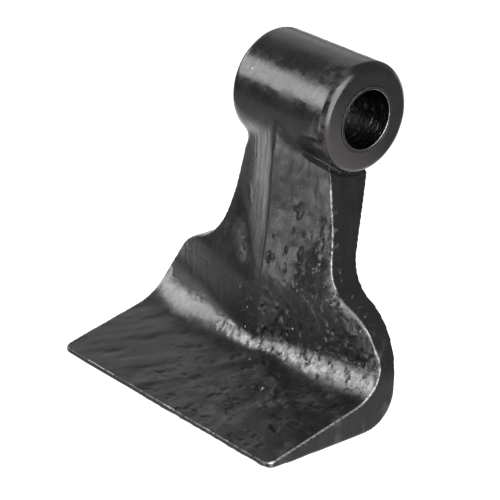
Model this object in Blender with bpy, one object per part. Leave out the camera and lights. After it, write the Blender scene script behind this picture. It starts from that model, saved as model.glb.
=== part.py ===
"""Forged flail hammer that swings on a floating pivot sleeve.

Frame: origin on the pivot axis at mid-length, +X along the pivot, +Z up, and the cutting edge
towards -Y. Metres throughout. The hammer turns about the X axis through the origin.
"""

import math

import bpy
import bmesh

# Pivot boss and sleeve, all centred on the X axis
BOSS_RADIUS = 0.0240
BOSS_LENGTH = 0.0570
BOSS_RIM = 0.0030
PIN_HOLE_RADIUS = 0.01275
SLEEVE_WALL = 0.00125
SLEEVE_LENGTH = 0.0576
SLEEVE_CHAMFER = 0.0003
RUNNING_GAP = 0.00015
BORE_CHAMFER = 0.0006

# Front view: flared neck, concave waist arc, convex shoulder arc, parallel blade sides
HALF_WIDTH = 0.0655
NECK_FLARE = math.radians(10.5)
WAIST_RADIUS = 0.0200
SHOULDER_RADIUS = 0.0305
SHOULDER_HEADING = math.radians(71.0)
SHOULDER_END_Z = -0.1005

# Front of the neck: a blunt central ridge on a wall, each upright and then leaning forward
WALL_Y = -0.0144
WALL_LEAN_START_Z = -0.0240
CREST_Y = -0.0240
CREST_LEAN_START_Z = -0.0420
LEAN = math.radians(3.2)
RIDGE_HALF_WIDTH = 0.0300
RIDGE_POWER = 1.2
RIDGE_SPREAD_Z = -0.0480
FOOT_HALF_WIDTH = 0.0620
FOOT_POWER = 1.3

# Blade: its top meets the neck in a root fillet that tightens towards the ridge
BLADE_SLOPE = math.radians(12.5)
TIP_Y = -0.0785
TIP_TOP_Z = -0.1166
TIP_BOTTOM_Z = -0.1188
TIP_CORNER = 0.0040
ROOT_RADIUS_SIDE = 0.0250
ROOT_RADIUS_RIDGE = 0.0090
ROOT_SPREAD = 0.0450

# Back of the neck, heel and underside
BACK_TOP_Y = 0.0120
BACK_SLOPE = math.radians(15.0)
HEEL_Y = -0.0100
BACK_BLEND = 0.0030
BACK_CROWN = 0.0020
BOTTOM_Z = -0.1195
HEEL_RADIUS = 0.0143
BEVEL_START_Y = -0.0660

# Mesh density
ROUND_SEGMENTS = 72
RIM_STEPS = 4
FRONT_COLUMNS = 15
BACK_COLUMNS = 7
SIDE_STEPS = 3
ARC_STEPS = 6
FAN_STEPS = 9
BLADE_STEPS = 3
CORNER_STEPS = 3
FAN_TOP_Z = -0.0800
NECK_TUCK = 0.0015


def clear_scene():
    for obj in list(bpy.data.objects):
        bpy.data.objects.remove(obj, do_unlink=True)


def steel(name, colour, roughness, metallic):
    material = bpy.data.materials.new(name)
    material.use_nodes = True
    shader = material.node_tree.nodes["Principled BSDF"]
    shader.inputs["Base Color"].default_value = (*colour, 1.0)
    shader.inputs["Roughness"].default_value = roughness
    shader.inputs["Metallic"].default_value = metallic
    return material


def lerp(a, b, t):
    return a + (b - a) * t


def smoothstep(t):
    t = min(1.0, max(0.0, t))
    return t * t * (3.0 - 2.0 * t)


# ---------------------------------------------------------------- front view outline


def outline_joints():
    """Where the outline's arcs start: (waist centre x, z), neck end z, shoulder top z."""
    cos_h, sin_h = math.cos(SHOULDER_HEADING), math.sin(SHOULDER_HEADING)
    shoulder_top_x = HALF_WIDTH - SHOULDER_RADIUS * (1.0 - cos_h)
    shoulder_top_z = SHOULDER_END_Z + SHOULDER_RADIUS * sin_h
    waist_x = shoulder_top_x + WAIST_RADIUS * cos_h
    waist_z = shoulder_top_z + WAIST_RADIUS * sin_h
    neck_end_z = waist_z - WAIST_RADIUS * math.sin(NECK_FLARE)
    return waist_x, waist_z, neck_end_z, shoulder_top_z


def outline_half_width(z):
    """Half of the width seen from the front, at height z."""
    waist_x, waist_z, neck_end_z, shoulder_top_z = outline_joints()
    if z <= SHOULDER_END_Z:
        return HALF_WIDTH
    if z <= shoulder_top_z:
        drop = math.sqrt(SHOULDER_RADIUS**2 - (z - SHOULDER_END_Z) ** 2)
        return HALF_WIDTH - SHOULDER_RADIUS + drop
    if z <= neck_end_z:
        return waist_x - math.sqrt(WAIST_RADIUS**2 - (z - waist_z) ** 2)
    neck_end_x = waist_x - WAIST_RADIUS * math.cos(NECK_FLARE)
    return neck_end_x - (z - neck_end_z) * math.tan(NECK_FLARE)


def half_width(y, z):
    """The outline, with the blade's two tip corners rounded in plan."""
    width = outline_half_width(z)
    into_corner = TIP_Y + TIP_CORNER - y
    if into_corner <= 0.0:
        return width
    into_corner = min(into_corner, TIP_CORNER)
    return width - TIP_CORNER + math.sqrt(TIP_CORNER**2 - into_corner**2)


# ---------------------------------------------------------------- side view profiles


def ridge_share(x, z):
    """1 on the ridge's crest, 0 where it has run out into the wall. It spreads at its foot."""
    neck = max(0.0, 1.0 - abs(x) / RIDGE_HALF_WIDTH) ** RIDGE_POWER
    foot = max(0.0, 1.0 - (abs(x) / FOOT_HALF_WIDTH) ** FOOT_POWER)
    spread = smoothstep((RIDGE_SPREAD_Z - z) / (RIDGE_SPREAD_Z - FAN_TOP_Z))
    return lerp(neck, foot, spread)


def leaning_y(top_y, lean_start_z, z):
    return top_y - math.tan(LEAN) * max(0.0, lean_start_z - z)


def front_y(x, z):
    wall = leaning_y(WALL_Y, WALL_LEAN_START_Z, z)
    crest = leaning_y(CREST_Y, CREST_LEAN_START_Z, z)
    return lerp(wall, crest, ridge_share(x, z))


def blade_top_z(y):
    return TIP_TOP_Z + math.tan(BLADE_SLOPE) * (y - TIP_Y)


def root_fillet(x):
    """(centre y, centre z, radius, first angle, last angle) of the root fillet at x."""
    radius = lerp(ROOT_RADIUS_RIDGE, ROOT_RADIUS_SIDE, smoothstep(abs(x) / ROOT_SPREAD))
    # The corner that the leaning wall and the blade's top would meet in
    level_y = front_y(x, FAN_TOP_Z)
    rise = math.tan(BLADE_SLOPE) * math.tan(LEAN)
    corner_z = (blade_top_z(level_y) - rise * FAN_TOP_Z) / (1.0 - rise)
    corner_y = front_y(x, corner_z)
    half_angle = (math.pi / 2 + LEAN + BLADE_SLOPE) / 2
    # The bisector points forward and up, half-way between the wall and the blade
    bisector = math.pi / 2 - LEAN + half_angle
    reach = radius / math.sin(half_angle)
    centre_y = corner_y + reach * math.cos(bisector)
    centre_z = corner_z + reach * math.sin(bisector)
    return centre_y, centre_z, radius, -LEAN, BLADE_SLOPE - math.pi / 2


def front_fan_point(x, share):
    """A point of the root fillet: share 0 is on the wall, share 1 on the blade's top."""
    centre_y, centre_z, radius, start, end = root_fillet(x)
    angle = lerp(start, end, share)
    return centre_y + radius * math.cos(angle), centre_z + radius * math.sin(angle)


def back_y(z):
    """The back of the neck: a slope that eases into the upright heel wall."""
    ahead = BACK_TOP_Y + math.tan(BACK_SLOPE) * z - HEEL_Y
    return HEEL_Y + (ahead + math.sqrt(ahead**2 + BACK_BLEND**2)) / 2


def bottom_z(y):
    """The underside: flat, then lifting a little to the cutting edge."""
    share = max(0.0, (BEVEL_START_Y - y) / (BEVEL_START_Y - TIP_Y))
    return lerp(BOTTOM_Z, TIP_BOTTOM_Z, share**2)


def heel_point(share):
    """A point of the back wall and heel: share 0 is at FAN_TOP_Z, share 1 under the heel."""
    wall_share = 0.6
    if share <= wall_share:
        z = lerp(FAN_TOP_Z, BOTTOM_Z + HEEL_RADIUS, share / wall_share)
        return back_y(z), z
    angle = lerp(0.0, math.pi / 2, (share - wall_share) / (1.0 - wall_share))
    start_y = back_y(BOTTOM_Z + HEEL_RADIUS)
    y = start_y - HEEL_RADIUS * (1.0 - math.cos(angle))
    return y, BOTTOM_Z + HEEL_RADIUS * (1.0 - math.sin(angle))


# ---------------------------------------------------------------- rings of the blade and neck


def ring(front_point, back_point):
    """One closed ring across the forging. front_point(x) and back_point give (y, z)."""
    points = []
    for column in range(FRONT_COLUMNS):
        across = lerp(-1.0, 1.0, column / (FRONT_COLUMNS - 1))
        x = across * HALF_WIDTH
        for _ in range(6):
            y, z = front_point(x)
            x = across * half_width(y, z)
        points.append((x, y, z))
    edge_y, edge_z = points[-1][1:]
    rear_y, rear_z = back_point
    side = []
    for step in range(1, SIDE_STEPS + 1):
        t = step / (SIDE_STEPS + 1)
        y, z = lerp(edge_y, rear_y, t), lerp(edge_z, rear_z, t)
        side.append((half_width(y, z), y, z))
    points += side
    rear_width = half_width(rear_y, rear_z)
    for column in range(BACK_COLUMNS):
        across = lerp(1.0, -1.0, column / (BACK_COLUMNS - 1))
        crown = BACK_CROWN * (1.0 - across**2) * smoothstep((rear_z - BOTTOM_Z) / HEEL_RADIUS)
        points.append((across * rear_width, rear_y + crown, rear_z))
    points += [(-x, y, z) for x, y, z in reversed(side)]
    return points


def neck_heights():
    """Heights of the level rings, dense where the outline curves."""
    _, waist_z, neck_end_z, _ = outline_joints()
    heights = [0.0, -0.008, -0.016, -0.026, -0.040, neck_end_z]
    for step in range(1, ARC_STEPS + 1):
        heading = lerp(NECK_FLARE, SHOULDER_HEADING, step / ARC_STEPS)
        heights.append(waist_z - WAIST_RADIUS * math.sin(heading))
    fan_heading = math.asin((FAN_TOP_Z - SHOULDER_END_Z) / SHOULDER_RADIUS)
    for step in range(1, ARC_STEPS // 2 + 1):
        heading = lerp(SHOULDER_HEADING, fan_heading, step / (ARC_STEPS // 2))
        heights.append(SHOULDER_END_Z + SHOULDER_RADIUS * math.sin(heading))
    return heights


def forging_rings():
    rings = []
    for z in neck_heights():
        tuck = NECK_TUCK if z == 0.0 else 0.0
        rings.append(ring(lambda x: (front_y(x, z) + tuck, z), (back_y(z), z)))
    for step in range(FAN_STEPS + 1):
        share = step / FAN_STEPS
        back_share = (step + 1) / (FAN_STEPS + 1)
        rings.append(ring(lambda x: front_fan_point(x, share), heel_point(back_share)))
    under_y = heel_point(1.0)[0]
    for blade_share in blade_shares():
        rear_y = lerp(under_y, TIP_Y, blade_share)

        def blade_point(x):
            start_y = front_fan_point(x, 1.0)[0]
            y = lerp(start_y, TIP_Y, blade_share)
            return y, blade_top_z(y)

        rings.append(ring(blade_point, (rear_y, bottom_z(rear_y))))
    return rings


def blade_shares():
    """How far along the blade each ring lies, with the last ones round the tip corners."""
    length = front_fan_point(HALF_WIDTH, 1.0)[0] - TIP_Y
    corner_share = 1.0 - TIP_CORNER / length
    shares = [corner_share * step / BLADE_STEPS for step in range(1, BLADE_STEPS + 1)]
    for step in range(1, CORNER_STEPS + 1):
        turn = math.sin(math.pi / 2 * step / CORNER_STEPS)
        shares.append(lerp(corner_share, 1.0, turn))
    return shares


def loft(name, rings):
    """A closed body through the rings, with a flat fan-shaped cap at each end."""
    mesh = bpy.data.meshes.new(name)
    shape = bmesh.new()
    loops = [[shape.verts.new(point) for point in points] for points in rings]
    count = len(loops[0])
    for upper, lower in zip(loops, loops[1:]):
        for i in range(count):
            j = (i + 1) % count
            shape.faces.new((upper[i], lower[i], lower[j], upper[j]))
    caps = [shape.faces.new(loops[0]), shape.faces.new(list(reversed(loops[-1])))]
    bmesh.ops.poke(shape, faces=caps)
    bmesh.ops.triangulate(shape, faces=shape.faces[:])
    bmesh.ops.recalc_face_normals(shape, faces=shape.faces[:])
    shape.to_mesh(mesh)
    shape.free()
    return new_object(name, mesh)


# ---------------------------------------------------------------- turned pieces


def new_object(name, mesh):
    obj = bpy.data.objects.new(name, mesh)
    bpy.context.scene.collection.objects.link(obj)
    return obj


def turned(name, profile, closed_bore):
    """Turns (x, radius) points about X. closed_bore joins the last point to the first."""
    mesh = bpy.data.meshes.new(name)
    shape = bmesh.new()
    loops = []
    for x, radius in profile:
        loop = []
        for i in range(ROUND_SEGMENTS):
            angle = 2 * math.pi * i / ROUND_SEGMENTS
            loop.append(shape.verts.new((x, radius * math.cos(angle), radius * math.sin(angle))))
        loops.append(loop)
    pairs = list(zip(loops, loops[1:]))
    if closed_bore:
        pairs.append((loops[-1], loops[0]))
    for one, other in pairs:
        for i in range(ROUND_SEGMENTS):
            j = (i + 1) % ROUND_SEGMENTS
            shape.faces.new((one[i], one[j], other[j], other[i]))
    if not closed_bore:
        shape.faces.new(list(reversed(loops[0])))
        shape.faces.new(loops[-1])
    bmesh.ops.recalc_face_normals(shape, faces=shape.faces[:])
    shape.to_mesh(mesh)
    shape.free()
    return new_object(name, mesh)


def boss_profile():
    """Half the boss's outer profile with its rounded rim, then its mirror image."""
    right = []
    for step in range(RIM_STEPS + 1):
        angle = math.pi / 2 * step / RIM_STEPS
        x = BOSS_LENGTH / 2 - BOSS_RIM * (1.0 - math.sin(angle))
        right.append((x, BOSS_RADIUS - BOSS_RIM * (1.0 - math.cos(angle))))
    return [(-x, radius) for x, radius in reversed(right)] + right


def bore_profile():
    """The cutter for the boss's bore, flared at both ends into a chamfer."""
    radius = PIN_HOLE_RADIUS + SLEEVE_WALL + RUNNING_GAP
    mouth = BOSS_LENGTH / 2 - BORE_CHAMFER
    beyond = 2.0 * BORE_CHAMFER
    right = [(mouth, radius), (mouth + beyond, radius + beyond)]
    return [(-x, r) for x, r in reversed(right)] + right


def sleeve_profile():
    end = SLEEVE_LENGTH / 2
    outer, inner, cut = PIN_HOLE_RADIUS + SLEEVE_WALL, PIN_HOLE_RADIUS, SLEEVE_CHAMFER
    right_outer = [(end - cut, outer), (end, outer - cut)]
    right_inner = [(end, inner + cut), (end - cut, inner)]
    left_inner = [(-x, radius) for x, radius in reversed(right_inner)]
    left_outer = [(-x, radius) for x, radius in reversed(right_outer)]
    return left_outer + right_outer + right_inner + left_inner


def boolean(obj, cutter, operation):
    modifier = obj.modifiers.new(operation.title(), "BOOLEAN")
    modifier.object = cutter
    modifier.operation = operation
    modifier.solver = "EXACT"
    cutter.hide_render = True
    cutter.display_type = "WIRE"


def finish(obj, material):
    obj.data.materials.append(material)
    obj.data.shade_smooth()
    obj.data.set_sharp_from_angle(angle=math.radians(35.0))


def make_forging(pivot):
    forging = loft("hammer_forging", forging_rings())
    boolean(forging, turned("boss_blank", boss_profile(), closed_bore=False), "UNION")
    boolean(forging, turned("bore_cutter", bore_profile(), closed_bore=False), "DIFFERENCE")
    finish(forging, steel("black_forging", (0.028, 0.027, 0.028), 0.42, 0.3))
    forging.parent = pivot


def make_sleeve():
    sleeve = turned("pivot_sleeve", sleeve_profile(), closed_bore=True)
    finish(sleeve, steel("dark_sleeve_steel", (0.09, 0.09, 0.092), 0.38, 0.9))


def main():
    clear_scene()
    pivot = bpy.data.objects.new("pivot_axis", None)
    bpy.context.scene.collection.objects.link(pivot)
    make_forging(pivot)
    make_sleeve()


main()
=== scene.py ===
"""Looks of a forged flail hammer: a painted, rough-forged hammer on its turned pivot sleeve."""

import math

import bmesh
import bpy
import numpy as np
from mathutils import Matrix, Vector


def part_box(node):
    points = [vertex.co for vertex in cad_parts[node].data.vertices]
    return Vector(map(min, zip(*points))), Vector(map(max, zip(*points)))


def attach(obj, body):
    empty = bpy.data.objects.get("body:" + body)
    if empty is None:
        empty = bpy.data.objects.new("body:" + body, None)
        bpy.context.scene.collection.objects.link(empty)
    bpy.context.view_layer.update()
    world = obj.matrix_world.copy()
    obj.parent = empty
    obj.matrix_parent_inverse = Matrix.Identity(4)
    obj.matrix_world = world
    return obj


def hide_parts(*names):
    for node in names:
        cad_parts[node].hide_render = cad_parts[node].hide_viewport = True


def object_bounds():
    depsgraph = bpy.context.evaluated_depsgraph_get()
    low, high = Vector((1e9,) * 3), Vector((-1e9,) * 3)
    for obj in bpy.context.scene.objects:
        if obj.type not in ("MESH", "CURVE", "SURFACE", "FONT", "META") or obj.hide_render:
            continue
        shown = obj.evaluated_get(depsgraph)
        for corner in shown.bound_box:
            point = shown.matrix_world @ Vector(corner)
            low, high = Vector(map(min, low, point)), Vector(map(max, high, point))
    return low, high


MM = 0.001

# The frame gives the overall sizes; what it can't say is named here, in metres.
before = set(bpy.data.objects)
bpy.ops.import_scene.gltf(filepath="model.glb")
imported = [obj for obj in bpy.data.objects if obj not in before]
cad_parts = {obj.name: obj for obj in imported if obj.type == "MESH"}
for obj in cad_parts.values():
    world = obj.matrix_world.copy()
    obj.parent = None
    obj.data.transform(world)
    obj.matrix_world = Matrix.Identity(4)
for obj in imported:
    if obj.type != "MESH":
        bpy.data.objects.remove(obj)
cad_low, cad_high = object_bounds()
sleeve_low, sleeve_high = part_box("pivot_sleeve")

# Boss and sleeve
BOSS_RADIUS = cad_high.z
BOSS_LENGTH = 57.0 * MM
BOSS_RIM = 3.2 * MM
SLEEVE_OUTER = sleeve_high.z
SLEEVE_INNER = SLEEVE_OUTER - 1.25 * MM
SLEEVE_CHAMFER = 0.2 * MM
RUNNING_GAP = 0.15 * MM
BORE_CHAMFER = 0.2 * MM
BORE_RADIUS = SLEEVE_OUTER + RUNNING_GAP

# Outline seen from the front
HALF_WIDTH = cad_high.x
NECK_FLARE = math.radians(10.5)
WAIST_RADIUS = 20.0 * MM
SHOULDER_RADIUS = 30.5 * MM
SHOULDER_HEADING = math.radians(71.0)
SHOULDER_END_Z = -100.5 * MM

# Front of the neck
WALL_Y = -14.4 * MM
WALL_LEAN_START_Z = -24.0 * MM
CREST_Y = -24.0 * MM
CREST_LEAN_START_Z = -42.0 * MM
LEAN = math.radians(3.2)
RIDGE_HALF_WIDTH = 30.0 * MM
FOOT_HALF_WIDTH = 62.0 * MM
FOOT_FACET_WIDTH = 28.0 * MM
FOOT_LEDGE_SHARE = 0.5
CREST_SPREAD_Z = -67.0 * MM
WALL_SPREAD_Z = -42.0 * MM
FACET_WIDTH = 17.0 * MM
FACET_SHARE = 0.72
FOLD_ROUNDING = 1.2 * MM
CREST_ROUNDING = 0.5 * MM
ROLL_DEPTH = 2.2 * MM
ROLL_WIDTH = 6.0 * MM

# Blade, heel and underside
BLADE_SLOPE = math.radians(12.5)
TIP_Y = cad_low.y
TIP_TOP_Z = -116.6 * MM
TIP_BOTTOM_Z = -118.8 * MM
TIP_CORNER = 4.0 * MM
ROOT_RADIUS_LEFT = 25.0 * MM
ROOT_RADIUS_RIGHT = 17.0 * MM
ROOT_RADIUS_RIDGE = 7.5 * MM
ROOT_SPREAD = 44.0 * MM
BACK_TOP_Y = 12.0 * MM
BACK_SLOPE = math.radians(15.0)
HEEL_Y = -10.0 * MM
BACK_BLEND = 3.0 * MM
BACK_CROWN = 2.0 * MM
BOTTOM_Z = cad_low.z
HEEL_RADIUS = 14.3 * MM
BEVEL_START_Y = -66.0 * MM
FAN_TOP_Z = -80.0 * MM

# Mesh density of the shell and of the remeshed skin
FRONT_COLUMNS = 121
SIDE_STEPS = 16
BACK_COLUMNS = 61
ROUND_SEGMENTS = 256
VOXEL = 0.58 * MM

LOFT_PASSES = 8
FAN_STEPS = 40
NECK_TUCK = 1.5 * MM
SKIN_ROUNDS = 2
JUNCTION_ROUNDS = 70
JUNCTION_REACH = 7.0 * MM

# Relief of the forging's skin, as heights and depths
WAVES = 0.14 * MM
SMALL_WAVES = 0.04 * MM
BOSS_WAVES = 0.06 * MM
DRAW_MARKS = 0.07 * MM
NECK_DENTS = 0.12 * MM
NECK_GOUGES = 0.42 * MM
NECK_CRACKS = 0.22 * MM
NECK_WRINKLES = 0.20 * MM
NECK_LUMPS = 0.34 * MM
ROOT_STROKES = 0.30 * MM
ROOT_PITS = 0.42 * MM
BLADE_RIPPLES = 0.20 * MM
BLADE_HOLLOWS = 0.26 * MM
BLADE_SCABS = 0.20 * MM
CREASE_DEPTH = 1.4 * MM
CREASE_REACH = 1.7 * MM

# Single marks on the blade's right: centre, radius, and height or depth
PIT = (24.2 * MM, -46.1 * MM, -109.4 * MM)
PIT_RADIUS = 1.9 * MM
PIT_DEPTH = 1.4 * MM
PIT_BURR = (22.4 * MM, -47.3 * MM, -109.6 * MM)
PIT_BURR_RADIUS = 1.4 * MM
PIT_BURR_HEIGHT = 0.5 * MM
SCAB = (34.0 * MM, -44.5 * MM, -109.0 * MM)
SCAB_RADIUS = 9.0 * MM
SCAB_HEIGHT = 0.45 * MM

# Colours of the paint and of the steel under it
PAINT_DEEP = (0.0035, 0.003, 0.0035)
PAINT_HAZE = (0.009, 0.008, 0.009)
PAINT_SMUDGE = (0.026, 0.024, 0.025)
# Slightly paler, low and in front on the boss's end faces
PAINT_PALER_END = (0.034, 0.029, 0.032)
PAINT_SCUFF = (0.16, 0.16, 0.16)
PAINT_SPECK = (0.45, 0.45, 0.44)
# Painted highlight on the root's fillet, smooth on the left and over torn scale on the right
ROOT_HIGHLIGHT_CALM = (0.075, 0.073, 0.075)
ROOT_HIGHLIGHT_ON_SCALE = (0.25, 0.245, 0.25)
# Painted highlight along the right shoulder's edge
LIP_HIGHLIGHT = (0.16, 0.158, 0.16)
EDGE_WORN = (0.36, 0.35, 0.34)
SLEEVE_DARK = (0.02, 0.02, 0.02)
SLEEVE_SCORED = (0.50, 0.49, 0.48)
SLEEVE_LIP = (0.42, 0.41, 0.40)
SLEEVE_PAINT = (0.008, 0.007, 0.008)

# Camera: place, its direction from the object in degrees, roll, and lens in millimetres
CAMERA_PLACE = Vector((648.74, -646.89, 331.03)) * MM
CAMERA_AZIMUTH = 46.603
CAMERA_ELEVATION = 23.619
CAMERA_ROLL = math.radians(3.485)
CAMERA_LENS = 169.85

# Studio: the floor is brightest behind the part, and the softboxes face one point
FLOOR_Z = -0.30
FLOOR_SIZE = 8.0
FLOOR_GREY = 0.34
FLOOR_GLOW = 1.05
FLOOR_GLOW_LEAST = 0.08
WORLD_STRENGTH = 0.30
AIM = Vector((0.0, -0.02, -0.05))

# name, azimuth, elevation, distance, width, height, radiance
SOFTBOXES = [
    ("key_softbox", -53.0, 26.0, 1.0, 1.02, 0.44, 6.8),
    ("back_softbox", -124.0, 30.0, 0.9, 0.80, 0.50, 0.60),
    ("right_softbox", 74.0, 19.0, 1.1, 0.88, 1.50, 6.3),
    ("front_card", -8.0, -14.0, 0.8, 0.40, 0.24, 4.4),
]


def lerp(a, b, t):
    return a + (b - a) * t


def smoothstep(t):
    t = np.clip(t, 0.0, 1.0)
    return t * t * (3.0 - 2.0 * t)


# ---------------------------------------------------------------- outline and profiles


def outline_joints():
    """(waist centre x, z), the height where the neck ends, and where the shoulder starts."""
    cos_h, sin_h = math.cos(SHOULDER_HEADING), math.sin(SHOULDER_HEADING)
    shoulder_top_x = HALF_WIDTH - SHOULDER_RADIUS * (1.0 - cos_h)
    shoulder_top_z = SHOULDER_END_Z + SHOULDER_RADIUS * sin_h
    waist_x = shoulder_top_x + WAIST_RADIUS * cos_h
    waist_z = shoulder_top_z + WAIST_RADIUS * sin_h
    neck_end_z = waist_z - WAIST_RADIUS * math.sin(NECK_FLARE)
    return waist_x, waist_z, neck_end_z, shoulder_top_z


WAIST_X, WAIST_Z, NECK_END_Z, SHOULDER_TOP_Z = outline_joints()


def outline_half_width(z):
    """Half of the width seen from the front, at heights z (an array)."""
    neck_end_x = WAIST_X - WAIST_RADIUS * math.cos(NECK_FLARE)
    neck = neck_end_x - (z - NECK_END_Z) * math.tan(NECK_FLARE)
    waist = WAIST_X - np.sqrt(np.maximum(WAIST_RADIUS**2 - (z - WAIST_Z) ** 2, 0.0))
    drop = np.sqrt(np.maximum(SHOULDER_RADIUS**2 - (z - SHOULDER_END_Z) ** 2, 0.0))
    shoulder = HALF_WIDTH - SHOULDER_RADIUS + drop
    above_end = np.where(z <= SHOULDER_TOP_Z, shoulder, np.where(z <= NECK_END_Z, waist, neck))
    return np.where(z <= SHOULDER_END_Z, HALF_WIDTH, above_end)


def outline_heading(z):
    """How far the outline leans from upright at heights z, in radians."""
    step = 0.2 * MM
    slope = (outline_half_width(z - step) - outline_half_width(z + step)) / (2 * step)
    return np.arctan(slope)


def half_width(y, z):
    """The outline, with the blade's two tip corners rounded in plan."""
    into = np.clip(TIP_Y + TIP_CORNER - y, 0.0, TIP_CORNER)
    cut = TIP_CORNER - np.sqrt(TIP_CORNER**2 - into**2)
    return outline_half_width(z) - cut


def softened(x, rounding):
    """Positive part of x, with its corner rounded."""
    return (x + np.sqrt(x**2 + rounding**2)) / 2


def neck_share(x):
    """1 on the neck's crest, falling over a steep facet, then a flatter one, to 0."""
    across = np.sqrt(x**2 + CREST_ROUNDING**2) - CREST_ROUNDING
    steep = FACET_SHARE / FACET_WIDTH
    flat = (1.0 - FACET_SHARE) / (RIDGE_HALF_WIDTH - FACET_WIDTH)
    drop = steep * across - (steep - flat) * softened(across - FACET_WIDTH, FOLD_ROUNDING)
    return softened(1.0 - drop, 0.06)


def foot_share(x):
    """The ridge spread out at its foot: a full round on the left, a ledge on the right."""
    left = 1.0 - (x / FOOT_HALF_WIDTH) ** 2
    steep = 1.0 - np.sqrt(x**2 + CREST_ROUNDING**2) / FOOT_FACET_WIDTH
    ledge = FOOT_LEDGE_SHARE * (1.0 - (x / FOOT_HALF_WIDTH) ** 4)
    right = ledge + softened(steep - ledge, 0.06)
    return np.maximum(0.0, lerp(left, right, smoothstep(x / (6.0 * MM) + 0.5)))


def ridge_share(x, z):
    """How far the front stands out at x, from 0 on the wall to 1 on the ridge's crest."""
    off_crest = smoothstep((np.abs(x) - 6.0 * MM) / (22.0 * MM))
    start_z = lerp(CREST_SPREAD_Z, WALL_SPREAD_Z, off_crest)
    spread = smoothstep((start_z - z) / (start_z - FAN_TOP_Z))
    return lerp(neck_share(x), foot_share(x), spread)


def leaning_y(top_y, lean_start_z, z):
    return top_y - math.tan(LEAN) * np.maximum(0.0, lean_start_z - z)


def front_y(x, z):
    wall = leaning_y(WALL_Y, WALL_LEAN_START_Z, z)
    crest = leaning_y(CREST_Y, CREST_LEAN_START_Z, z)
    return lerp(wall, crest, ridge_share(x, z))


def rolled(x, y, z):
    """The front face, proud of its edges by a soft roll where the outline turns upward."""
    heading = outline_heading(z)
    from_edge = (outline_half_width(z) - np.abs(x)) * np.cos(heading)
    short = 1.0 - np.clip(from_edge / ROLL_WIDTH, 0.0, 1.0)
    depth = ROLL_DEPTH * lerp(0.25, 1.0, smoothstep(x / HALF_WIDTH + 0.5))
    return y - depth * np.sin(heading) * (1.0 - short**2)


def blade_top_z(y):
    return TIP_TOP_Z + math.tan(BLADE_SLOPE) * (y - TIP_Y)


def root_point(x, share):
    """(y, z) on the root fillet at x: share 0 is on the wall, share 1 on the blade's top."""
    side_radius = np.where(x < 0.0, ROOT_RADIUS_LEFT, ROOT_RADIUS_RIGHT)
    radius = lerp(ROOT_RADIUS_RIDGE, side_radius, smoothstep(np.abs(x) / ROOT_SPREAD))
    rise = math.tan(BLADE_SLOPE) * math.tan(LEAN)
    corner_z = (blade_top_z(front_y(x, FAN_TOP_Z)) - rise * FAN_TOP_Z) / (1.0 - rise)
    corner_y = front_y(x, corner_z)
    half_angle = (math.pi / 2 + LEAN + BLADE_SLOPE) / 2
    bisector = math.pi / 2 - LEAN + half_angle
    reach = radius / math.sin(half_angle)
    angle = lerp(-LEAN, BLADE_SLOPE - math.pi / 2, share)
    y = corner_y + reach * math.cos(bisector) + radius * math.cos(angle)
    z = corner_z + reach * math.sin(bisector) + radius * math.sin(angle)
    return y, z


def back_y(z):
    ahead = BACK_TOP_Y + math.tan(BACK_SLOPE) * z - HEEL_Y
    return HEEL_Y + (ahead + math.sqrt(ahead**2 + BACK_BLEND**2)) / 2


def bottom_z(y):
    share = max(0.0, (BEVEL_START_Y - y) / (BEVEL_START_Y - TIP_Y))
    return lerp(BOTTOM_Z, TIP_BOTTOM_Z, share**2)


def heel_point(share):
    """(y, z) on the back wall and heel: share 0 is at FAN_TOP_Z, share 1 under the heel."""
    wall_share = 0.6
    heel_top_z = BOTTOM_Z + HEEL_RADIUS
    if share <= wall_share:
        z = lerp(FAN_TOP_Z, heel_top_z, share / wall_share)
        return back_y(z), z
    angle = math.pi / 2 * (share - wall_share) / (1.0 - wall_share)
    y = back_y(heel_top_z) - HEEL_RADIUS * (1.0 - math.cos(angle))
    return y, heel_top_z - HEEL_RADIUS * math.sin(angle)


# ---------------------------------------------------------------- the forging's shell


def ring(front_point, back_point):
    """One closed ring of points across the forging, as an array of (x, y, z)."""
    across = np.linspace(-1.0, 1.0, FRONT_COLUMNS)
    x = across * HALF_WIDTH
    for _ in range(LOFT_PASSES):
        y, z = front_point(x)
        x = across * half_width(y, z)
    front = np.stack([x, rolled(x, y, z), z], 1)
    rear_y, rear_z = back_point
    steps = np.arange(1, SIDE_STEPS + 1) / (SIDE_STEPS + 1)
    side_y = lerp(front[-1, 1], rear_y, steps)
    side_z = lerp(front[-1, 2], rear_z, steps)
    side = np.stack([half_width(side_y, side_z), side_y, side_z], 1)
    back = np.linspace(1.0, -1.0, BACK_COLUMNS)
    crown = BACK_CROWN * (1.0 - back**2) * smoothstep((rear_z - BOTTOM_Z) / HEEL_RADIUS)
    rear_width = half_width(np.array(rear_y), np.array(rear_z))
    rear = np.stack([back * rear_width, rear_y + crown, np.full_like(back, rear_z)], 1)
    other_side = side[::-1] * (-1.0, 1.0, 1.0)
    return np.concatenate([front, side, rear, other_side])


def neck_heights():
    straight = np.linspace(0.0, NECK_END_Z, 24)
    waist = WAIST_Z - WAIST_RADIUS * np.sin(np.linspace(NECK_FLARE, SHOULDER_HEADING, 24))
    last = math.asin((FAN_TOP_Z - SHOULDER_END_Z) / SHOULDER_RADIUS)
    shoulder = np.sin(np.linspace(SHOULDER_HEADING, last, 12))
    shoulder = SHOULDER_END_Z + SHOULDER_RADIUS * shoulder
    return np.concatenate([straight, waist[1:], shoulder[1:]])


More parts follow.
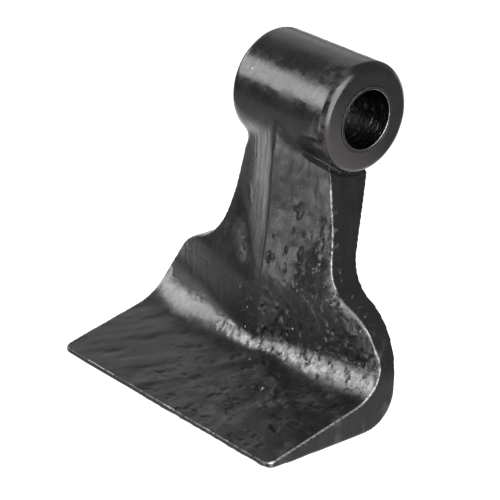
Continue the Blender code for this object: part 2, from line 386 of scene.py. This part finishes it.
def shell_rings():
    """Rings from inside the boss, down the neck, round the root and heel, to the tip."""
    rings = []
    for z in neck_heights():
        inset = NECK_TUCK * max(0.0, 1.0 + z / (6.0 * MM))
        level = np.full(FRONT_COLUMNS, z)
        rings.append(ring(lambda x: (front_y(x, z) + inset, level), (back_y(z), z)))
    for step in range(FAN_STEPS + 1):
        share = step / FAN_STEPS
        back_share = (step + 1) / (FAN_STEPS + 1)
        rings.append(ring(lambda x: root_point(x, share), heel_point(back_share)))
    under_y = heel_point(1.0)[0]
    blade = np.concatenate([np.linspace(0.0, 0.9, 40)[1:], np.linspace(0.9, 1.0, 14)[1:]])
    for share in blade:
        rear_y = lerp(under_y, TIP_Y, share)

        def blade_point(x):
            y = lerp(root_point(x, 1.0)[0], TIP_Y, share)
            return y, blade_top_z(y)

        rings.append(ring(blade_point, (rear_y, bottom_z(rear_y))))
    return rings


def mesh_object(name, points, faces):
    mesh = bpy.data.meshes.new(name)
    mesh.from_pydata([tuple(point) for point in points], [], faces)
    shape = bmesh.new()
    shape.from_mesh(mesh)
    bmesh.ops.recalc_face_normals(shape, faces=shape.faces[:])
    shape.to_mesh(mesh)
    shape.free()
    obj = bpy.data.objects.new(name, mesh)
    bpy.context.scene.collection.objects.link(obj)
    return obj


def ring_faces(ring_count, size, joined):
    """Quads between successive rings of the same size; joined closes the last to the first."""
    faces = []
    for r in range(ring_count if joined else ring_count - 1):
        upper, lower = r * size, (r + 1) % ring_count * size
        for i in range(size):
            j = (i + 1) % size
            faces.append((upper + i, lower + i, lower + j, upper + j))
    return faces


def lofted(name, rings):
    size = len(rings[0])
    faces = ring_faces(len(rings), size, joined=False)
    faces.append(tuple(range(size)))
    faces.append(tuple(reversed(range((len(rings) - 1) * size, len(rings) * size))))
    return mesh_object(name, np.concatenate(rings), faces)


def turned(name, profile, tube):
    """Turns (x, radius) points about X. A tube's profile is a closed loop."""
    angle = np.linspace(0.0, 2 * np.pi, ROUND_SEGMENTS, endpoint=False)
    rings = []
    for x, radius in profile:
        circle = (np.full_like(angle, x), radius * np.cos(angle), radius * np.sin(angle))
        rings.append(np.stack(circle, 1))
    if not tube:
        return lofted(name, rings)
    return mesh_object(name, np.concatenate(rings), ring_faces(len(rings), len(angle), True))


def mirrored(right):
    return [(-x, radius) for x, radius in reversed(right)] + right


def boss_profile():
    """Half of the outline at the boss's ends is a rim, rounded but fairly flat at 45 degrees."""
    right = []
    for angle in np.linspace(0.0, math.pi / 2, 14):
        along = 1.0 - math.sin(angle) ** 1.35
        inward = 1.0 - math.cos(angle) ** 1.35
        right.append((BOSS_LENGTH / 2 - BOSS_RIM * along, BOSS_RADIUS - BOSS_RIM * inward))
    return mirrored(right)


def bore_profile():
    mouth = BOSS_LENGTH / 2 - BORE_CHAMFER
    beyond = 3.0 * BORE_CHAMFER
    return mirrored([(mouth, BORE_RADIUS), (mouth + beyond, BORE_RADIUS + beyond)])


# ---------------------------------------------------------------- procedural relief


def lattice_noise(points, seed):
    """Smooth noise from -1 to 1 at points in lattice units, the same in each run."""
    cell = np.floor(points).astype(np.int64)
    part = points - cell
    part = part * part * (3.0 - 2.0 * part)
    total = np.zeros(len(points))
    for corner in range(8):
        offset = np.array([corner & 1, corner >> 1 & 1, corner >> 2 & 1])
        key = (cell + offset) @ np.array([73856093, 19349663, 83492791]) + seed * 2654435761
        key = key & 0xFFFFFFFF
        key = ((key ^ (key >> 15)) * 2246822519) & 0xFFFFFFFF
        key = ((key ^ (key >> 13)) * 3266489917) & 0xFFFFFFFF
        value = (key ^ (key >> 16)) / 0xFFFFFFFF * 2.0 - 1.0
        weight = np.prod(np.where(offset == 1, part, 1.0 - part), axis=1)
        total += weight * value
    return total


def noise(points, size, seed, octaves=2):
    """Noise whose features are about size across. size is a number or one for each axis."""
    total, strength = np.zeros(len(points)), 1.0
    for octave in range(octaves):
        total += strength * lattice_noise(points / size * 2.0**octave, seed + octave)
        strength *= 0.5
    return total


def veins(points, size, seed, width):
    """Thin branching lines: 1 on each line, fading to 0 beside it."""
    return smoothstep(1.0 - np.abs(noise(points, size, seed, octaves=1)) / width)


def span(values, low, high, fade):
    """1 between low and high, fading to 0 over fade outside them."""
    return smoothstep((values - low) / fade + 1.0) * smoothstep((high - values) / fade + 1.0)


def bump_at(points, centre, radius):
    """1 at a point, falling smoothly to 0 at radius from it."""
    away = np.linalg.norm(points - np.array(centre), axis=1) / radius
    return smoothstep(1.0 - away)


class Skin:
    """The remeshed forging as arrays: points, normals, and neighbours for smoothing."""

    def __init__(self, obj):
        self.mesh = obj.data
        self.points = np.empty(len(self.mesh.vertices) * 3, np.float32)
        self.mesh.vertices.foreach_get("co", self.points)
        self.points = self.points.reshape(-1, 3).astype(float)
        edges = np.empty(len(self.mesh.edges) * 2, np.int32)
        self.mesh.edges.foreach_get("vertices", edges)
        edges = edges.reshape(-1, 2)
        self.start = np.concatenate([edges[:, 0], edges[:, 1]])
        self.end = np.concatenate([edges[:, 1], edges[:, 0]])
        self.degree = np.bincount(self.start, minlength=len(self.points))[:, None]

    def store(self):
        self.mesh.vertices.foreach_set("co", self.points.astype(np.float32).ravel())
        self.mesh.update()

    def normals(self):
        self.store()
        found = np.empty(len(self.points) * 3, np.float32)
        self.mesh.vertex_normals.foreach_get("vector", found)
        return found.reshape(-1, 3).astype(float)

    def neighbour_mean(self, values):
        columns = []
        for k in range(values.shape[1]):
            weights = values[self.end, k]
            columns.append(np.bincount(self.start, weights=weights, minlength=len(values)))
        return np.stack(columns, 1) / self.degree

    def smooth(self, mask, rounds):
        """Relaxes the points towards their neighbours, by mask from 0 to 1."""
        chosen = mask[:, None] * 0.5
        for _ in range(rounds):
            self.points += chosen * (self.neighbour_mean(self.points) - self.points)

    def convexity(self, normals, rounds):
        """Positive on convex edges and negative in creases, in metres."""
        offset = self.points - self.neighbour_mean(self.points)
        bulge = np.sum(offset * normals, axis=1)[:, None]
        for _ in range(rounds):
            bulge = self.neighbour_mean(bulge)
        return bulge[:, 0]

    def write(self, name, values):
        layer = self.mesh.attributes.new(name, "FLOAT", "POINT")
        layer.data.foreach_set("value", values.astype(np.float32))


def at_junction(points, reach):
    """1 along the line where the neck leaves the boss, fading to 0 at reach from it."""
    y, z = points[:, 1], points[:, 2]
    near = smoothstep(1.0 - np.abs(np.hypot(y, z) - BOSS_RADIUS) / reach)
    return near * smoothstep((-z - 3.0 * MM) / (6.0 * MM))


def junction_mask(points):
    """Where the neck flows into the boss: all along it but for a crease at the right."""
    x = points[:, 0]
    clear_of_rim = smoothstep((BOSS_LENGTH / 2 - 1.2 * MM - np.abs(x)) / (2.0 * MM))
    creased = smoothstep((x - 8.0 * MM) / (8.0 * MM))
    return at_junction(points, JUNCTION_REACH) * clear_of_rim * (1.0 - creased)


def root_mask(points, normals):
    """1 in the hollow between the neck and the blade."""
    tilt = span(normals[:, 2], 0.42, 0.66, 0.24) * smoothstep((-normals[:, 1] - 0.25) / 0.3)
    return tilt * smoothstep((-points[:, 2] - 84.0 * MM) / (5.0 * MM))


def side_edge_mask(points, normals):
    """1 along the rounded edges where the front meets the two side faces."""
    heading = outline_heading(points[:, 2])
    towards_side = np.abs(normals[:, 0]) * np.cos(heading) + normals[:, 2] * np.sin(heading)
    front = smoothstep((normals[:, 2] * 0.6 - normals[:, 1] - 0.15) / 0.15)
    from_edge = outline_half_width(points[:, 2]) - np.abs(points[:, 0])
    near = smoothstep(1.0 - from_edge * np.cos(heading) / (1.2 * MM))
    return span(towards_side, 0.55, 0.88, 0.12) * front * near


def lip_mask(points, normals):
    """1 on the front along the right shoulder's edge, where the skin curls over."""
    heading = outline_heading(points[:, 2])
    from_edge = outline_half_width(points[:, 2]) - np.abs(points[:, 0])
    near = smoothstep(1.0 - from_edge * np.cos(heading) / (4.5 * MM))
    right = smoothstep(points[:, 0] / (10.0 * MM))
    return right * near * np.sin(heading) * smoothstep((-normals[:, 1] - 0.2) / 0.3)


def neck_relief(points):
    """Draw marks down the left facet, dents and gouges on the right, cracks on the left."""
    x, z = points[:, 0], points[:, 2]
    left_facet = span(x, -17.0 * MM, -1.5 * MM, 2.0 * MM)
    height = DRAW_MARKS * left_facet * noise(points, np.array([1.7, 5.0, 15.0]) * MM, seed=20)
    right = smoothstep((x + 1.0 * MM) / (4.0 * MM))
    height += NECK_DENTS * right * noise(points, np.array([3.0, 6.0, 6.0]) * MM, seed=21)
    gouges = noise(points, np.array([1.5, 4.0, 4.2]) * MM, seed=22)
    lower = smoothstep((-z - 34.0 * MM) / (8.0 * MM))
    height -= NECK_GOUGES * right * lower * smoothstep((gouges - 0.42) / 0.5)
    shoulder = smoothstep((-x - 13.0 * MM) / (4.0 * MM))
    cracked = smoothstep(noise(points, 9.0 * MM, seed=24) + 0.3)
    cracks = veins(points, 6.5 * MM, seed=23, width=0.13) * cracked
    height -= NECK_CRACKS * shoulder * cracks
    wrinkles = veins(points, np.array([3.6, 4.0, 7.0]) * MM, seed=26, width=0.22)
    height -= NECK_WRINKLES * wrinkles * smoothstep((-z - 62.0 * MM) / (14.0 * MM)) * right
    foot = smoothstep((-z - 74.0 * MM) / (9.0 * MM))
    lumps = np.maximum(0.0, noise(points, 3.0 * MM, seed=25)) * foot
    return height + NECK_LUMPS * lumps * smoothstep((x + 14.0 * MM) / (6.0 * MM))


def root_relief(points):
    """Scale pressed into the root: torn and lumpy right of the ridge, calmer on the left."""
    x = points[:, 0]
    torn = span(x, -16.0 * MM, 34.0 * MM, 12.0 * MM)
    strokes = noise(points, np.array([1.6, 3.2, 3.6]) * MM, seed=31, octaves=3)
    pits = smoothstep((noise(points, 2.4 * MM, seed=32) - 0.40) / 0.4)
    return ROOT_STROKES * strokes * (0.10 + torn) - ROOT_PITS * pits * (0.12 + torn)


def blade_relief(points):
    """Ripples that cross the blade's left, and blotchy hollows on its right."""
    x = points[:, 0]
    along = points @ np.array([0.60, 0.80, 0.0])
    across = points @ np.array([-0.80, 0.60, 0.0])
    rippled = np.stack([along / 2.8, across, points[:, 2]], 1)
    left = smoothstep((24.0 * MM - x) / (34.0 * MM))
    height = BLADE_RIPPLES * left * noise(rippled, 5.2 * MM, seed=41)
    right = span(x, -12.0 * MM, 50.0 * MM, 20.0 * MM)
    height += BLADE_HOLLOWS * right * noise(points, 9.0 * MM, seed=42, octaves=1)
    flakes = noise(points, np.array([4.5, 3.0, 4.0]) * MM, seed=43)
    return height - BLADE_SCABS * smoothstep((flakes - 0.35) / 0.25) * right


def relief(points, normals):
    """How far each point of the forging's skin stands out along its normal."""
    x, y, z = points.T
    boss = smoothstep((BOSS_RADIUS + 2.0 * MM - np.hypot(y, z)) / (3.0 * MM))
    side = smoothstep((np.abs(normals[:, 0]) - 0.8) / 0.15)
    rough = 1.0 - 0.85 * np.maximum(side, boss)
    height = WAVES * noise(points, 16.0 * MM, seed=11) * rough
    height += BOSS_WAVES * noise(points, np.array([10.0, 6.0, 6.0]) * MM, seed=13) * boss
    height += SMALL_WAVES * noise(points, 5.0 * MM, seed=12) * rough
    front = smoothstep((-normals[:, 1] - 0.6) / 0.25) * (1.0 - boss) * (1.0 - side)
    height += front * neck_relief(points)
    height += root_mask(points, normals) * (1.0 - side) * root_relief(points)
    blade = smoothstep((normals[:, 2] - 0.8) / 0.15) * smoothstep((-z - 99.0 * MM) / (5.0 * MM))
    height += blade * blade_relief(points)
    crease = at_junction(points, CREASE_REACH) * smoothstep((x - 9.0 * MM) / (12.0 * MM))
    height -= CREASE_DEPTH * crease
    scab = bump_at(points, SCAB, SCAB_RADIUS) * noise(points, 3.0 * MM, seed=51)
    height += SCAB_HEIGHT * scab
    height -= PIT_DEPTH * bump_at(points, PIT, PIT_RADIUS)
    return height + PIT_BURR_HEIGHT * bump_at(points, PIT_BURR, PIT_BURR_RADIUS)


def remeshed(obj, voxel):
    modifier = obj.modifiers.new("Skin", "REMESH")
    modifier.mode = "VOXEL"
    modifier.voxel_size = voxel
    apply_modifiers(obj)


def apply_modifiers(obj):
    graph = bpy.context.evaluated_depsgraph_get()
    made = bpy.data.meshes.new_from_object(obj.evaluated_get(graph))
    old = obj.data
    obj.modifiers.clear()
    obj.data = made
    bpy.data.meshes.remove(old)


def join(obj, other):
    shape = bmesh.new()
    shape.from_mesh(obj.data)
    shape.from_mesh(other.data)
    shape.to_mesh(obj.data)
    shape.free()
    bpy.data.objects.remove(other)


def cut(obj, cutter):
    modifier = obj.modifiers.new("Bore", "BOOLEAN")
    modifier.object = cutter
    modifier.operation = "DIFFERENCE"
    modifier.solver = "MANIFOLD"
    apply_modifiers(obj)
    bpy.data.objects.remove(cutter)


def keep_inside(points):
    """Holds the relief inside the CAD model's box."""
    return np.clip(points, np.array(cad_low), np.array(cad_high))


def make_forging():
    forging = lofted("forged_hammer", shell_rings())
    join(forging, turned("boss", boss_profile(), tube=False))
    remeshed(forging, VOXEL)
    skin = Skin(forging)
    skin.smooth(np.full(len(skin.points), 0.6), SKIN_ROUNDS)
    skin.smooth(junction_mask(skin.points), JUNCTION_ROUNDS)
    normals = skin.normals()
    skin.write("root", root_mask(skin.points, normals))
    skin.write("edge", skin.convexity(normals, rounds=1) / VOXEL)
    skin.write("side_edge", side_edge_mask(skin.points, normals))
    skin.write("lip", lip_mask(skin.points, normals))
    skin.points += normals * relief(skin.points, normals)[:, None]
    skin.points = keep_inside(skin.points)
    skin.store()
    cut(forging, turned("bore", bore_profile(), tube=False))
    shade(forging, 40.0)
    return forging


def shade(obj, sharp_degrees):
    obj.data.shade_smooth()
    obj.data.set_sharp_from_angle(angle=math.radians(sharp_degrees))


def make_sleeve():
    end = sleeve_high.x
    corner = 0.1 * MM
    outer = mirrored([(end - corner, SLEEVE_OUTER), (end, SLEEVE_OUTER - corner)])
    mouth = SLEEVE_CHAMFER
    inner = mirrored([(end - mouth, SLEEVE_INNER), (end, SLEEVE_INNER + mouth)])
    sleeve = turned("turned_sleeve", outer + inner[::-1], tube=True)
    shade(sleeve, 25.0)
    return sleeve


# ---------------------------------------------------------------- materials


class Nodes:
    """A short way to write one material's node tree."""

    def __init__(self, name):
        self.material = bpy.data.materials.new(name)
        self.material.use_nodes = True
        self.tree = self.material.node_tree
        self.shader = self.tree.nodes["Principled BSDF"]
        self.place = self.tree.nodes.new("ShaderNodeTexCoord").outputs["Object"]

    def link(self, source, socket):
        if isinstance(source, (int, float)):
            socket.default_value = source
        else:
            self.tree.links.new(source, socket)

    def stretched(self, scale):
        node = self.tree.nodes.new("ShaderNodeMapping")
        node.inputs["Scale"].default_value = scale
        self.link(self.place, node.inputs["Vector"])
        return node.outputs["Vector"]

    def noise(self, scale, detail=4.0, roughness=0.55, vector=None):
        node = self.tree.nodes.new("ShaderNodeTexNoise")
        node.inputs["Scale"].default_value = scale
        node.inputs["Detail"].default_value = detail
        node.inputs["Roughness"].default_value = roughness
        self.link(vector or self.place, node.inputs["Vector"])
        return node.outputs["Fac"]

    def math(self, operation, a, b=0.0, clamp=False):
        node = self.tree.nodes.new("ShaderNodeMath")
        node.operation = operation
        node.use_clamp = clamp
        self.link(a, node.inputs[0])
        self.link(b, node.inputs[1])
        return node.outputs[0]

    def ramp(self, value, low, high, to_low=0.0, to_high=1.0):
        node = self.tree.nodes.new("ShaderNodeMapRange")
        node.interpolation_type = "SMOOTHSTEP"
        for socket, number in zip(("From Min", "From Max"), (low, high)):
            node.inputs[socket].default_value = number
        for socket, number in zip(("To Min", "To Max"), (to_low, to_high)):
            node.inputs[socket].default_value = number
        self.link(value, node.inputs["Value"])
        return node.outputs["Result"]

    def mix(self, share, one, other):
        node = self.tree.nodes.new("ShaderNodeMix")
        node.data_type = "RGBA"
        self.link(share, node.inputs["Factor"])
        for socket, colour in ((node.inputs[6], one), (node.inputs[7], other)):
            if isinstance(colour, tuple):
                socket.default_value = (*colour, 1.0)
            else:
                self.link(colour, socket)
        return node.outputs[2]

    def bump(self, height, distance, strength=1.0, normal=None):
        node = self.tree.nodes.new("ShaderNodeBump")
        node.inputs["Distance"].default_value = distance
        node.inputs["Strength"].default_value = strength
        self.link(height, node.inputs["Height"])
        if normal:
            self.link(normal, node.inputs["Normal"])
        return node.outputs["Normal"]

    def axis(self, name):
        node = self.tree.nodes.new("ShaderNodeSeparateXYZ")
        self.link(self.place, node.inputs["Vector"])
        return node.outputs[name]

    def layer(self, name):
        node = self.tree.nodes.new("ShaderNodeAttribute")
        node.attribute_name = name
        return node.outputs["Fac"]

    def product(self, first, *others):
        for other in others:
            first = self.math("MULTIPLY", first, other)
        return first

    def specks(self, scale, share, radius):
        """Small round specks in a share of the cells of a grid."""
        node = self.tree.nodes.new("ShaderNodeTexVoronoi")
        node.inputs["Scale"].default_value = scale
        self.link(self.place, node.inputs["Vector"])
        split = self.tree.nodes.new("ShaderNodeSeparateColor")
        self.link(node.outputs["Color"], split.inputs["Color"])
        kept = self.math("GREATER_THAN", split.outputs[0], 1.0 - share)
        return self.product(kept, self.ramp(node.outputs["Distance"], radius, radius * 0.5))


def scuffs_on_neck(nodes):
    """Light scuffs on the right of the neck's front."""
    right = nodes.ramp(nodes.axis("X"), 8.0 * MM, 26.0 * MM)
    above_foot = nodes.ramp(nodes.axis("Z"), -88.0 * MM, -70.0 * MM)
    below_boss = nodes.ramp(nodes.axis("Z"), -30.0 * MM, -40.0 * MM)
    front = nodes.ramp(nodes.axis("Y"), -12.0 * MM, -14.0 * MM)
    broken = nodes.ramp(nodes.noise(330.0, 5.0, 0.7), 0.55, 0.68)
    return nodes.product(broken, right, above_foot, below_boss, front, 0.6)


def paler_boss_end(nodes):
    """Where the boss's end faces are slightly paler, low and in front."""
    face = nodes.ramp(nodes.math("ABSOLUTE", nodes.axis("X")), 27.0 * MM, 28.0 * MM)
    low = nodes.ramp(nodes.math("ADD", nodes.axis("Y"), nodes.axis("Z")), 4.0 * MM, -30.0 * MM)
    above = nodes.ramp(nodes.axis("Z"), -26.0 * MM, -22.0 * MM)
    return nodes.product(face, low, above)


def paint_colour(nodes, edge_wear):
    """Black paint, greyer where it is scuffed, lighter along the root's fillet and the right
    shoulder's edge as painted highlights, and worn along edges.
    """
    cloud = nodes.noise(70.0, 3.0)
    colour = nodes.mix(cloud, PAINT_DEEP, PAINT_HAZE)
    smudges = nodes.ramp(nodes.noise(110.0, 4.0, 0.6), 0.52, 0.66)
    on_blade = nodes.ramp(nodes.axis("Z"), -101.0 * MM, -105.0 * MM)
    right = nodes.ramp(nodes.axis("X"), -20.0 * MM, 20.0 * MM)
    smudges = nodes.product(smudges, on_blade, right)
    colour = nodes.mix(smudges, colour, PAINT_SMUDGE)
    # Painted highlight on the root's fillet: lighter paint where its highlight band lies, smooth
    # on the left and patchy over torn scale on the right
    torn = nodes.ramp(nodes.axis("X"), -22.0 * MM, -4.0 * MM)
    fine = nodes.ramp(nodes.noise(330.0, 4.0, 0.6, nodes.stretched((1.0, 1.0, 0.4))), 0.36, 0.56)
    patchy = nodes.mix(torn, (0.8, 0.8, 0.8), fine)
    root = nodes.product(nodes.layer("root"), patchy, 0.85)
    bright = nodes.mix(torn, ROOT_HIGHLIGHT_CALM, ROOT_HIGHLIGHT_ON_SCALE)
    colour = nodes.mix(root, colour, bright)
    # Painted highlight along the right shoulder's edge, where the skin curls over, broken up by
    # noise
    lip = nodes.product(nodes.layer("lip"), nodes.ramp(nodes.noise(240.0, 4.0), 0.40, 0.60))
    colour = nodes.mix(lip, colour, LIP_HIGHLIGHT)
    colour = nodes.mix(scuffs_on_neck(nodes), colour, PAINT_SCUFF)
    colour = nodes.mix(paler_boss_end(nodes), colour, PAINT_PALER_END)
    colour = nodes.mix(nodes.specks(165.0, 0.12, 0.095), colour, PAINT_SPECK)
    return nodes.mix(edge_wear, colour, EDGE_WORN)


def worn_edges(nodes):
    """Bare metal along the front's side edges and the cutting edge, broken up by noise."""
    broken = nodes.ramp(nodes.noise(430.0, 4.0, 0.6), 0.34, 0.50)
    below_boss = nodes.ramp(nodes.axis("Z"), -24.0 * MM, -30.0 * MM)
    side = nodes.product(nodes.layer("side_edge"), below_boss)
    tip = nodes.ramp(nodes.axis("Y"), -74.5 * MM, -76.5 * MM)
    cutting = nodes.product(nodes.ramp(nodes.layer("edge"), 0.06, 0.10), tip)
    return nodes.product(nodes.math("MAXIMUM", side, cutting), broken, 0.85)


def painted_forging():
    """Semi-gloss black paint over forging scale, smoother on the boss and the side faces."""
    nodes = Nodes("painted_forging")
    shader = nodes.shader
    shader.inputs["IOR"].default_value = 1.5
    edge_wear = worn_edges(nodes)
    nodes.link(paint_colour(nodes, edge_wear), shader.inputs["Base Color"])
    nodes.link(nodes.product(edge_wear, 0.9), shader.inputs["Metallic"])
    cloud = nodes.noise(120.0, 3.0)
    streaks = nodes.noise(300.0, 5.0, 0.62, nodes.stretched((1.0, 1.0, 0.3)))
    below_boss = nodes.ramp(nodes.axis("Z"), -12.0 * MM, -24.0 * MM)
    calm_root = nodes.ramp(nodes.axis("X"), 0.0, -18.0 * MM, 0.6, 1.0)
    calm_root = nodes.product(nodes.layer("root"), calm_root)
    rugged = nodes.product(below_boss, nodes.math("SUBTRACT", 1.0, calm_root))
    mottle = nodes.noise(420.0, 4.0, 0.6)
    calm = nodes.ramp(nodes.math("ADD", cloud, mottle), 0.80, 1.20, 0.17, 0.30)
    rough = nodes.ramp(streaks, 0.3, 0.7, 0.20, 0.34)
    shifted = nodes.product(nodes.math("SUBTRACT", rough, calm), rugged)
    nodes.link(nodes.math("ADD", calm, shifted), shader.inputs["Roughness"])
    above_blade = nodes.ramp(nodes.axis("Z"), -104.0 * MM, -92.0 * MM, 0.35, 1.0)
    skin = nodes.bump(nodes.product(streaks, rugged, above_blade), 0.28 * MM, 0.8)
    peel = nodes.bump(cloud, 0.12 * MM, 0.5, skin)
    grain = nodes.bump(nodes.noise(1100.0, 3.0, 0.6), 0.04 * MM, 0.7, peel)
    nodes.link(grain, shader.inputs["Normal"])
    return nodes.material


def turned_steel():
    """Sleeve steel, scored inside, bright on its inner edge and painted over on its ends."""
    nodes = Nodes("turned_sleeve_steel")
    shader = nodes.shader
    along = nodes.math("ABSOLUTE", nodes.axis("X"))
    end = sleeve_high.x
    painted = nodes.ramp(along, end - 0.10 * MM, end - 0.02 * MM)
    lip = nodes.ramp(along, end - SLEEVE_CHAMFER - 0.1 * MM, end - SLEEVE_CHAMFER)
    marks = nodes.noise(900.0, 4.0, 0.65, nodes.stretched((1.0, 0.25, 0.25)))
    patches = nodes.noise(160.0, 3.0, 0.6)
    scored = nodes.product(nodes.ramp(marks, 0.54, 0.64), nodes.ramp(patches, 0.42, 0.60))
    colour = nodes.mix(scored, SLEEVE_DARK, SLEEVE_SCORED)
    colour = nodes.mix(lip, colour, SLEEVE_LIP)
    colour = nodes.mix(painted, colour, SLEEVE_PAINT)
    nodes.link(colour, shader.inputs["Base Color"])
    metal = nodes.math("SUBTRACT", 1.0, painted)
    nodes.link(metal, shader.inputs["Metallic"])
    nodes.link(nodes.ramp(marks, 0.3, 0.7, 0.42, 0.26), shader.inputs["Roughness"])
    relief = nodes.product(marks, metal)
    nodes.link(nodes.bump(relief, 0.5 * MM, 0.9), shader.inputs["Normal"])
    return nodes.material


def dress(obj, material, body, node):
    obj.data.materials.clear()
    obj.data.materials.append(material)
    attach(obj, body)
    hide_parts(node)


# ---------------------------------------------------------------- stage, lights, camera


def make_floor():
    half = FLOOR_SIZE / 2
    corners = [(-half, -half), (half, -half), (half, half), (-half, half)]
    floor = mesh_object("studio_floor", [(x, y, FLOOR_Z) for x, y in corners], [(0, 1, 2, 3)])
    nodes = Nodes("studio_floor")
    shader = nodes.shader
    shader.inputs["Roughness"].default_value = 0.9
    shader.inputs["Base Color"].default_value = (FLOOR_GREY, FLOOR_GREY, FLOOR_GREY, 1.0)
    shader.inputs["Emission Color"].default_value = (1.0, 1.0, 1.0, 1.0)
    behind = nodes.ramp(nodes.axis("Y"), -0.16, 0.0)
    left = nodes.ramp(nodes.axis("X"), 0.36, 0.0)
    lit = nodes.product(behind, left, FLOOR_GLOW)
    glow = nodes.math("ADD", lit, FLOOR_GLOW_LEAST)
    nodes.link(glow, shader.inputs["Emission Strength"])
    floor.data.materials.append(nodes.material)


def make_world():
    world = bpy.data.worlds.new("studio")
    world.use_nodes = True
    background = world.node_tree.nodes["Background"]
    background.inputs["Color"].default_value = (1.0, 1.0, 1.0, 1.0)
    background.inputs["Strength"].default_value = WORLD_STRENGTH
    bpy.context.scene.world = world


def direction(azimuth, elevation):
    """Unit vector at azimuth from -Y towards +X and elevation above level, in degrees."""
    a, e = math.radians(azimuth), math.radians(elevation)
    return Vector((math.sin(a) * math.cos(e), -math.cos(a) * math.cos(e), math.sin(e)))


def make_softbox(name, azimuth, elevation, distance, width, height, radiance):
    light = bpy.data.lights.new(name, "AREA")
    light.shape = "RECTANGLE"
    light.size, light.size_y = width, height
    light.energy = radiance * math.pi * width * height
    lamp = bpy.data.objects.new(name, light)
    towards = direction(azimuth, elevation)
    lamp.location = AIM + towards * distance
    lamp.rotation_mode = "QUATERNION"
    lamp.rotation_quaternion = towards.to_track_quat("Z", "Y")
    lamp.visible_camera = False
    bpy.context.scene.collection.objects.link(lamp)


def make_camera():
    data = bpy.data.cameras.new("camera")
    data.lens = CAMERA_LENS
    data.sensor_width = 36.0
    data.clip_start = 0.05
    camera = bpy.data.objects.new("camera", data)
    back = direction(CAMERA_AZIMUTH, CAMERA_ELEVATION)
    level = direction(CAMERA_AZIMUTH + 90.0, 0.0)
    raised = back.cross(level)
    right = math.cos(CAMERA_ROLL) * level + math.sin(CAMERA_ROLL) * raised
    up = math.cos(CAMERA_ROLL) * raised - math.sin(CAMERA_ROLL) * level
    turn = Matrix((right, up, back)).transposed().to_4x4()
    camera.matrix_world = Matrix.Translation(CAMERA_PLACE) @ turn
    bpy.context.scene.collection.objects.link(camera)
    bpy.context.scene.camera = camera


make_camera()
make_world()
make_floor()
for softbox in SOFTBOXES:
    make_softbox(*softbox)
dress(make_forging(), painted_forging(), "hammer", "hammer_forging")
dress(make_sleeve(), turned_steel(), "sleeve", "pivot_sleeve")
bpy.context.scene.view_settings.view_transform = "Standard"
